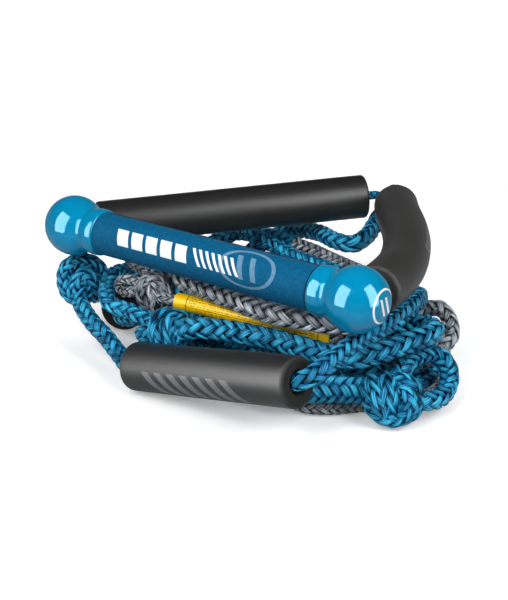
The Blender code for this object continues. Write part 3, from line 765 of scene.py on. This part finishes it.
# Each stretch of rope by its CAD node: the visible piece's name, diameter, material and route.
ROUTES = {
    "rope_to_bridle": ("bridle_strand", 13.0, BLUE, (
        (-28, 192, 62.5), (-28, 184, 57), (-25, 170, 54), (-27, 155, 52), (-42, 156, 51),
        (-61, 167, 49), (-78, 175, 45.5), (-97, 181, 40), (-114, 179, 31), (-127, 167, 18.5),
        (-127, 152, 8.5), (-116, 145, 7), (-106, 137, 7.5), (-98, 128, 9),
    )),
    "rope_back_blue": ("back_blue_strand", 11.0, BLUE, (
        (-62, -4, 34), (-72, 3, 32.5), (-80, 9.5, 30.5), (-95, 15.5, 27), (-110, 18.5, 22),
        (-124, 21.5, 17.2), (-134, 29, 15.4), (-137.8, 36, 15.4), (-147, 58, 15.4),
        (-150, 84, 15.4), (-146, 112, 15.4), (-145, 121, 19), (-142, 133, 29), (-133, 143, 39),
        (-119, 150, 42), (-104, 150, 41.5), (-90, 148, 39), (-67, 143, 37), (-46, 139, 37),
        (-22, 134, 37), (2, 127, 36), (15, 122, 31), (25, 117, 23),
    )),
    "rope_back_splice": ("back_splice_strand", 11.0, BLUE, (
        (-104, 112, 9), (-114, 116, 7.5), (-125, 122, 6.5), (-135, 129, 6.5), (-142, 137, 10),
        (-146, 146, 18), (-143, 156, 28), (-133, 163, 36.5), (-118, 165, 39.5), (-104, 164, 39.5),
        (-90, 162, 38.5), (-79, 162, 38),
    )),
    "rope_back_grey": ("back_grey_strand", 11.0, GREY, (
        (-80, 162, 38), (-64, 159, 38), (-44, 154, 37), (-25, 148, 37), (-4, 142, 37),
        (14, 134, 37), (25, 125, 36), (33, 115, 31), (38, 105, 23),
    )),
    "rope_front_blue": ("front_blue_strand", 14.0, BLUE, (
        (-56, -8, 36), (-46, -6, 39), (-37, -4, 41.3), (-24, 1, 41.8), (-7, 5, 41.8), (13, 8, 41.8),
        (41, 9, 41.5), (60, 12, 41.5), (71, 24, 43), (78, 40, 44.5), (83, 55, 45), (84.5, 68, 44.5),
        (79, 77, 43), (69, 79, 42), (60, 76, 40.5), (51, 72, 39), (41, 66, 36.5), (34, 58, 32),
        (28, 51, 24),
    )),
    "rope_line": ("main_line", 11.8, BLUE, (
        (-144, 0, 36), (-138, -5, 34), (-131, -9.5, 32.5), (-118, -15, 28), (-103, -19, 23),
        (-89, -24, 18), (-76, -28.6, 14.6), (-50, -30.4, 20.4), (-7, -33.3, 30), (40, -36.4, 40.5),
        (55, -37.5, 43.9), (61.5, -37.5, 47), (66.5, -30, 51), (68.5, -17, 54), (69, -3, 56.5),
        (71, 12, 58), (73, 31, 59), (73, 52, 59.5), (69, 75, 58.5), (60, 94, 54), (52, 106, 48),
        (42, 114, 41),
    )),
    "rope_left_tail": ("left_tail_strand", 11.0, BLUE, (
        (-145, 8, 45), (-138, 14, 43), (-132, 21, 40.5), (-130, 29, 38), (-122, 42, 36.3),
        (-112, 54, 36.3), (-104, 68, 35.5), (-101, 78, 31), (-100, 88, 23),
    )),
    "rope_left_loop": ("left_loop_strand", 11.0, BLUE, (
        (-66, -8, 37), (-77, -9.5, 39.8), (-82, -10.5, 41), (-90, -10.5, 42), (-98, -12.5, 43),
        (-106, -12, 44.5), (-115, -4, 46), (-122.6, 6.2, 48), (-127, 17, 50), (-125, 28, 49.5),
        (-116, 36, 47), (-104, 38, 42.5), (-90, 36, 38), (-79, 33, 32), (-70, 31, 24),
    )),
    "rope_grey_loop": ("grey_bight", 7.4, GREY, (
        (-91, 8.5, 52), (-95.5, 7, 54), (-99.5, 6, 54.8), (-103.5, 5, 55.8), (-108.6, 4.5, 54),
        (-111, 4.5, 49.8), (-108.5, 4.5, 46.3), (-103.5, 4.8, 46.8), (-98, 5.8, 48), (-91, 8, 48),
    )),
    "rope_grey_tail": ("grey_tail_strand", 9.0, GREY, (
        (-91, 16, 51), (-98, 19.5, 54), (-103, 21, 56), (-110, 22, 58), (-117, 24, 59.5),
        (-124, 31, 59.5), (-128, 42, 55), (-126, 54, 48), (-118, 66, 41.5), (-110, 79, 36),
        (-106, 90, 31), (-104, 99, 23),
    )),
    "rope_sleeved": ("sleeved_strand", 7.4, GREY, (
        (-83, 7, 50), (-74, 6, 49.5), (-67, 9, 48), (-40, 14, 47), (-12, 16.5, 47),
        (14, 20.5, 46.5), (40, 25, 45.5), (52, 31, 42.5), (60, 42, 36), (64, 51, 29), (65, 59, 22),
    )),
    "rope_front_grey": ("front_grey_strand", 14.0, GREY, (
        (-98, 36, 30), (-98, 32, 38), (-94, 29, 48), (-86, 26.5, 56), (-75.5, 24, 59),
        (-67.5, 16.5, 60), (-44, 12, 60), (-20, 9.5, 59.5), (-2, 7, 59), (16, 7, 59), (37, 15, 58),
        (51, 23, 57), (56, 34, 54), (55, 44, 49), (50, 54, 43), (45, 61, 35), (41, 67, 26),
    )),
    "rope_side_grey": ("side_grey_strand", 10.8, GREY, (
        (38, 84, 24), (43, 90, 31), (50, 94.5, 36), (56, 97, 39.5), (65, 100, 44.5), (73, 100, 46),
        (81, 97, 41), (85.5, 91, 34), (83.5, 84, 28.5), (79, 81, 24), (74, 78, 19), (68, 75, 13),
    )),
    "tow_loop": ("boat_loop", 12.6, BLUE, (
        (90, 30, 16), (98, 38, 14), (101, 51, 12), (99, 64, 13), (95, 73, 18), (90, 75, 24),
        (83, 72, 28), (78, 62, 28), (77, 51, 28), (79, 42, 27), (81, 32, 23),
    )),
    "rope_end": ("boat_end_strand", 18.4, BLUE, (
        (74, 24, 17.5), (63.6, 19.2, 18.5), (56, 12.5, 19.5), (44, 3, 20), (30, -5, 18.5),
        (12, -5, 12.5), (-18, -5.2, 9.8), (-44, -5.2, 9.6), (-68, -3.6, 9.6), (-88, 3, 9.6),
    )),
    "rope_floor_grey": ("floor_grey_strand", 9.0, GREY, (
        (84, 86, 5), (87, 76, 4.9), (87, 64, 4.8), (82, 50, 4.7), (73, 38, 4.7), (61, 27, 4.7),
        (50, 15, 4.7), (40, 8, 4.7), (32, 5.5, 4.7), (24, 7, 4.7), (16, 12, 4.7),
    )),
}
# The width that the wide end braid is declared with, and its form.
END_STYLE = dict(flat=0.66, hint=(0.3, -1.0, 0.0), lay_angle=54.0, wide=0.92)
BRIDLE_DIAMETER = 6.5
COIL_DIAMETER = 11.0
# The sleeve, and the rows of dashes printed round it.
SLEEVE_LENGTH = 110.0
SLEEVE_RADIUS = 5.4
SLEEVE_BORE = 4.3
ROW_PITCH = 1.55
ROW_OFFSET = 80.0


def make_knot(name, material, centre, strands, seed):
    """A knot of laid strands, each (diameter, flat, lay, right-up-toward points) about its centre."""
    axes = np.array([tuple(axis) for axis in camera_axes()])
    parts = [[], [], [], []]
    total = 0
    for index, (diameter, flat, lay, points) in enumerate(strands):
        route = np.array(centre, float) + np.array(points, float) @ axes
        path = Path(smooth_route(route, 1.0), tuple(axes[2]))
        data = braid_data(path, diameter, flat, seed=seed + index, step=1.1, start=total,
                          lay_angle=lay, strands=max(6, round(diameter * 0.66)))
        for held, new in zip(parts, data):
            held.append(new)
        total += len(data[0])
    faces = [face for held in parts[1] for face in held]
    return new_object(name, np.concatenate(parts[0]), faces, material,
                      {"fibre": np.concatenate(parts[2]), "painted_light_level": np.concatenate(parts[3])})


# Each knot: material, centre, and its strands in right, up and toward-viewer millimetres.
KNOT_STRANDS = {
    "knot_left": ("left_knot", BLUE, (-147, 7, 45.5), (
        (11.5, 0.9, 33, ((10.9, -12.8, -7), (12.8, -2.6, -5), (11.2, 6.4, -2), (5.8, 10.8, 2),
                         (-2.6, 11.2, 4.5), (-9.0, 7.0, 6), (-10.8, -0.6, 6), (-9.0, -8.6, 4),
                         (-4.2, -13.0, -1), (2.0, -12.5, -5))),
        (12.5, 0.85, 33, ((-1.0, -13.5, 0), (-2.4, -8.0, 5), (-0.6, -1.4, 8), (3.4, 1.8, 8.5),
                          (7.2, -1.6, 7), (8.4, -8.5, 2), (6.0, -13.0, -3))),
        (13.0, 0.9, 33, ((-8.0, -7.0, -4), (-4.0, 0.0, -3), (1.0, 4.5, -3), (9.0, 4.0, -5))),
    )),
    "knot_front": ("front_knot", BLUE, (-60, -7, 35.5), (
        (10.5, 0.75, 24, ((2.0, -7.5, -6), (-3.0, -9.5, 1), (-7.5, -6.0, 6.5), (-9.3, 0.5, 7.5),
                          (-7.0, 7.0, 5), (-1.5, 9.6, 0), (4.0, 7.0, -6), (5.5, -2.0, -7.5),
                          (2.5, -8.8, -2), (-1.2, -6.0, 6), (-2.6, 1.0, 8.2), (0.0, 7.6, 5),
                          (6.0, 8.4, -1), (9.5, 3.0, -6), (9.0, -5.0, -5), (5.0, -9.0, 1),
                          (3.8, -4.0, 6), (5.5, 2.0, 6), (10.0, 5.0, 2))),
        (12.0, 0.75, 36, ((-19.0, -4.5, -4), (-15.0, -2.5, -1), (-10.0, -1.0, 0), (-3.0, 0.0, 0))),
    )),
    "knot_grey": ("grey_knot", GREY, (-86.5, 10, 49.5), (
        (10.0, 0.8, 26, ((-4.0, 8.0, -3), (-2.6, 5.6, 2), (-0.6, 1.0, 5.5), (1.0, -4.6, 6.5),
                         (1.6, -9.4, 3.5), (0.6, -11.5, -2))),
        (8.4, 0.8, 22, ((-3.0, -9.5, -5), (-7.4, -5.5, -2), (-8.6, 0.0, 2), (-6.4, 5.8, 5.5),
                        (-1.4, 8.8, 7.5), (4.0, 7.2, 8.5), (7.4, 1.8, 7.5), (9.6, -4.0, 4),
                        (9.0, -9.5, 0))),
    )),
    "knot_end": ("end_knot", BLUE, (84, 24, 17), (
        (12.5, 0.6, 22, ((-13.4, 12.0, -5), (-12.6, 8.6, 2), (-10.4, 3.0, 6), (-7.2, -2.8, 7),
                         (-4.0, -7.2, 4), (-2.0, -10.4, -3))),
        (12.5, 0.6, 22, ((-4.0, 13.0, -4), (-3.8, 9.4, 3.5), (-3.6, 3.2, 7.6), (-2.8, -2.6, 7.8),
                         (-1.8, -7.0, 4), (-1.0, -10.4, -3))),
        (9.6, 0.9, 30, ((-12.0, 3.0, -7), (-13.6, -2.0, -4), (-10.8, -7.6, 0), (-5.2, -11.4, 2.5),
                        (1.6, -12.2, 4.5), (7.4, -9.0, 6.5), (9.8, -3.4, 7), (8.0, 2.6, 6),
                        (4.6, 6.0, 2), (1.0, 7.0, -4))),
        (15.0, 0.9, 33, ((-9.0, -5.0, -6), (-3.0, -4.0, -2), (3.0, -3.0, -1), (9.0, -1.0, -6))),
        (11.0, 0.9, 32, ((-2.0, 9.6, -6), (3.4, 10.8, -1), (9.8, 8.8, 2), (14.0, 2.5, 1),
                         (13.4, -4.8, -1), (8.8, -9.8, -2), (1.0, -11.3, -5))),
    )),
    "knot_bridle": ("bridle_knot", BLUE, (-21, 201, 74), (
        (7.0, 0.9, 33, ((2, -7, 3), (-5, -5, 5), (-7, 2, 3), (-2, 7, 0), (5, 6, -3), (7, -1, -4),
                        (2, -6, -4), (-4, -3, -2), (-2, 3, 5), (4, 3, 5), (7, -4, 2), (3, -8, 0))),
    )),
}


def make_ropes():
    """Every knot, the sleeve and every stretch of rope."""
    for index, (node, (name, material, centre, strands)) in enumerate(KNOT_STRANDS.items()):
        make_knot(name, material, centre, strands, 51 + 7 * index)
        dress(node)
    sleeve = make_sleeve()
    for seed, (node, (name, diameter, material, points)) in enumerate(ROUTES.items(), 31):
        style = END_STYLE if node == "rope_end" else {}
        line = smooth_route(points, 1.0)
        braid(name, line, diameter, material, seed=seed, **style)
        dress(node)
    make_bridle()


def make_bridle():
    """The bridle rope: knot, left float, left cap, tube, right cap, right float, knot."""
    left_start, left_end = (Vector(p) for p in LEFT_FLOAT_ENDS)
    way = (left_end - left_start).normalized()
    bulb = HANDLE_CENTRE + Vector((BULB_OFFSET, 0.0, 0.0))
    mirror = HANDLE_CENTRE - Vector((BULB_OFFSET, 0.0, 0.0))
    route = [
        Vector((-24, 197, 75)), left_end + way * 6.0 + Vector((0.5, 1.0, 0.0)), left_end + way * 2.0,
        left_end - way * 60.0, left_start + way * 60.0, left_start, left_start - way * 3.0,
        (-172, 36, 69), (-165, 30, 73), (-155, 26, 78), (-147, 19, 82.7), (-144.5, 11, 84.3),
        mirror + Vector((2.5, 3.0, 0.0)), mirror + Vector((13.0, 0.0, 0.0)),
        mirror + Vector((50.0, 0.0, 0.0)), bulb - Vector((50.0, 0.0, 0.0)),
        bulb - Vector((13.0, 0.0, 0.0)), bulb - Vector((2.5, -3.0, 0.0)), (71.0, 11, 84.5),
        (69.5, 19, 82.7),
    ]
    route += list(RIGHT_FLOAT_ROUTE)
    route += [(-13, 186, 76), (-18, 194, 75)]
    made, path = braid("bridle_line", smooth_route(route, 1.0), BRIDLE_DIAMETER, BLUE, seed=77,
                       section=6, step=1.3)
    dress("bridle_rope")


def sleeve_material():
    """Yellow plastic, printed with thin rings and rows of fine dashes."""
    n = Nodes("sleeve_print")
    x, arc, _ = n.split(n.attribute("skin"))
    grain = n.noise(n.here(), 900.0, 2.0)
    ends = n.math("MINIMUM", x, n.minus(SLEEVE_LENGTH, x))
    ring = n.smooth(n.distance(ends, 9.0), 0.36, 0.24)
    around = n.plus(arc, ROW_OFFSET)
    row = n.math("MODULO", around, ROW_PITCH)
    on_row = n.smooth(n.distance(row, 0.77), 0.40, 0.28)
    row_index = n.math("FLOOR", n.math("DIVIDE", around, ROW_PITCH))
    cells = n.add("ShaderNodeCombineXYZ", {0: n.times(x, 1.15), 1: n.times(row_index, 7.3)})
    dash = n.smooth(n.noise(cells.outputs[0], 1.0, 0.0), 0.44, 0.50)
    inside = n.times(n.smooth(ends, 10.6, 11.0), 0.75)
    ink = n.larger(ring, n.times(n.times(on_row, dash), inside))
    base = n.mix(grain, (0.93, 0.53, 0.002), (0.99, 0.62, 0.004))
    return n.surface(Base_Color=n.mix(ink, base, (0.05, 0.035, 0.01)),
                     Roughness=n.plus(0.28, n.times(grain, 0.12)), Normal=n.bump(grain, 0.1, 0.0002),
                     Specular_IOR_Level=0.35, Specular_Tint=(1.0, 0.8, 0.3))


def make_sleeve():
    """The printed sleeve on the thin rope."""
    line = smooth_route(ROUTES["rope_sleeved"][3][2:7], 1.0)
    made = foam_tube("label_sleeve_printed", line, sleeve_material(), SLEEVE_RADIUS, SLEEVE_BORE, ROOT,
                     seed=5, segments=48, hint=(0, -1, 0.3), rim=0.2, lip=0.1, uneven_by=0.01)
    dress("label_sleeve")
    return made

def coil_point(turn, across, height):
    """A point of the coil: turns counted from the middle of its right end, back and left first."""
    left, right = COIL_CENTRE_X
    radius = COIL_TURN_RADIUS + across
    arc = math.pi * COIL_TURN_RADIUS
    half = arc + right - left
    half_turns, s = divmod((turn % 1.0) * 2 * half + arc / 2, half)
    x, side = (left, -1) if half_turns == 1 else (right, 1)
    if s > arc:
        return (x - side * (s - arc), COIL_CENTRE_Y + side * radius, height)
    angle = s / COIL_TURN_RADIUS - side * math.pi / 2
    return (x + radius * math.cos(angle), COIL_CENTRE_Y + radius * math.sin(angle), height)


# Across and height of each turn, from the top one down, and where the turns begin and end.
COIL_LANES = (
    (-5.5, 24.3), (5.5, 24.4), (11.0, 15.0), (0.0, 15.1), (-11.0, 15.0), (-16.5, 5.6),
    (-5.5, 5.6), (5.5, 5.6), (16.5, 5.6),
)
COIL_START = 0.14
COIL_FINISH = len(COIL_LANES) - 0.40
LANE_CHANGE = 0.14
LOW_LANES_BELOW = 10.0
LEAD_IN = ((52, 106, 48), (42, 114, 41), (33, 121, 33))
LEAD_OUT = ((-97, 10, 7.4), (-88, 3, 9.0))


def make_coil():
    """The unseen length of the line, wound on in flat oval turns."""
    waves = rng(5).uniform(0, 6.28, (4, 2))[:, 0]
    samples = np.arange(COIL_START, COIL_FINISH + 0.001, 1 / 60.0)
    points = []
    for turn in samples[len(LEAD_IN):]:
        lane = int(turn)
        here = np.array(COIL_LANES[lane])
        there = np.array(COIL_LANES[min(lane + 1, len(COIL_LANES) - 1)])
        blend = min(max((turn - lane - 1.0 + LANE_CHANGE) / LANE_CHANGE, 0.0), 1.0)
        blend = blend * blend * (3 - 2 * blend)
        across, height = here * (1 - blend) + there * blend
        across += 0.28 * math.sin(turn * 11.0 + waves[0]) + 0.2 * math.sin(turn * 23.0 + waves[1])
        if height > LOW_LANES_BELOW:
            height += 0.3 * math.sin(turn * 13.0 + waves[2])
        points.append(coil_point(turn, across, height))
    line = smooth_route([*LEAD_IN, *points, *LEAD_OUT], 1.0)
    made, path = braid("coil_line", line, COIL_DIAMETER, BLUE, seed=91, section=6, step=1.9)
    dress("rope_coil")


# ---------------------------------------------------------------- studio
FLOOR_SQUARES = 12
FLOOR_SQUARE = 0.5
FLOOR_DROP = 0.0004
FLOOR_FADE = (0.50, 0.26)
WORLD_LOW = 0.26
WORLD_TOP = 0.04
WORLD_SEEN = 1.03
STUDIO_CENTRE = (-30.0, 30.0, 60.0)


def make_floor():
    """A pale floor that fades out away from the bundle and throws little light back."""
    n = Nodes("studio_floor")
    where = n.here()
    x, y, _ = n.split(where)
    seen = n.add("ShaderNodeLightPath").outputs["Is Camera Ray"]
    pale = n.mix(n.noise(where, 3.0, 2.0), (0.92, 0.92, 0.92), (0.95, 0.95, 0.95))
    material = n.surface(Base_Color=n.mix(seen, (0.45, 0.47, 0.48), pale), Roughness=0.8,
                         Specular_IOR_Level=0.1, Alpha=n.smooth(n.root_of_squares(x, y), *FLOOR_FADE),
                         Emission_Color=(1.0, 1.0, 1.0), Emission_Strength=n.times(seen, 0.28))
    edge = FLOOR_SQUARES + 1
    middle = FLOOR_SQUARES // 2
    verts = [((i - middle) * FLOOR_SQUARE, (k - middle) * FLOOR_SQUARE, -FLOOR_DROP)
             for i in range(edge) for k in range(edge)]
    faces = [[i * edge + k, (i + 1) * edge + k, (i + 1) * edge + k + 1, i * edge + k + 1]
             for i in range(FLOOR_SQUARES) for k in range(FLOOR_SQUARES)]
    mesh = bpy.data.meshes.new("floor")
    mesh.from_pydata(verts, [], faces)
    mesh.materials.append(material)
    floor = bpy.data.objects.new("floor", mesh)
    bpy.context.scene.collection.objects.link(floor)


def make_world():
    """White where it is seen; for the light it gives, brighter low down than overhead."""
    world = bpy.data.worlds.new("studio")
    world.use_nodes = True
    nodes, links = world.node_tree.nodes, world.node_tree.links
    background = nodes["Background"]
    background.inputs["Color"].default_value = (1.0, 1.0, 1.0, 1.0)
    direction = nodes.new("ShaderNodeTexCoord")
    height = nodes.new("ShaderNodeSeparateXYZ")
    fall = nodes.new("ShaderNodeMapRange")
    fall.interpolation_type = "SMOOTHSTEP"
    for key, value in (("From Min", -0.05), ("From Max", 0.35), ("To Min", WORLD_LOW),
                       ("To Max", WORLD_TOP)):
        fall.inputs[key].default_value = value
    seen = nodes.new("ShaderNodeLightPath")
    pick = nodes.new("ShaderNodeMix")
    pick.inputs["B"].default_value = WORLD_SEEN
    links.new(direction.outputs["Generated"], height.inputs[0])
    links.new(height.outputs[2], fall.inputs["Value"])
    links.new(seen.outputs["Is Camera Ray"], pick.inputs["Factor"])
    links.new(fall.outputs[0], pick.inputs["A"])
    links.new(pick.outputs["Result"], background.inputs["Strength"])
    bpy.context.scene.world = world
    bpy.context.scene.view_settings.view_transform = "Standard"


# Each softbox: its direction as right, up and toward shares, its distance, size and power.
# Cards only show in glossy surfaces, keys only light them.
SOFTBOXES = {
    "card_left": ((-0.80, 0.16, 0.60), 0.9, (0.70, 1.10), 27.0),
    "card_right": ((0.72, 0.16, 0.66), 0.9, (0.50, 1.00), 18.0),
    "key_left": ((-0.42, 0.34, 0.84), 1.0, (0.5, 0.5), 9.0),
    "key_right": ((0.52, 0.34, 0.78), 1.0, (0.4, 0.4), 6.0),
    "key_back": ((0.25, 0.45, -0.80), 1.0, (0.8, 0.6), 7.0),
}
KEY_TOP = ((0.0, 0.15, 1.0), (0.9, 0.6), 2.2)


def softbox(name, way, distance, size, power):
    """A rectangular area light aimed at the bundle from a direction."""
    data = bpy.data.lights.new(name, "AREA")
    data.shape = "RECTANGLE"
    data.size, data.size_y = size
    data.energy = power
    light = bpy.data.objects.new(name, data)
    bpy.context.scene.collection.objects.link(light)
    light.location = place(STUDIO_CENTRE) + way * distance
    light.rotation_mode = "QUATERNION"
    light.rotation_quaternion = (-way).to_track_quat("-Z", "Y")
    light.visible_diffuse = not name.startswith("card")
    light.visible_glossy = name.startswith("card")


def make_lights():
    """Two cards, three keys about the camera's own directions, and one key overhead."""
    right, up, toward = camera_axes()
    for name, ((across, high, near), distance, size, power) in SOFTBOXES.items():
        way = (toward * near + right * across + up * high).normalized()
        softbox(name, way, distance, size, power)
    way, size, power = KEY_TOP
    softbox("key_top", Vector(way), 1.0, size, power)


def main():
    """Builds every piece, the studio and the camera."""
    make_camera()
    make_ropes()
    make_coil()
    make_handle()
    make_floats()
    make_floor()
    make_world()
    make_lights()


main()
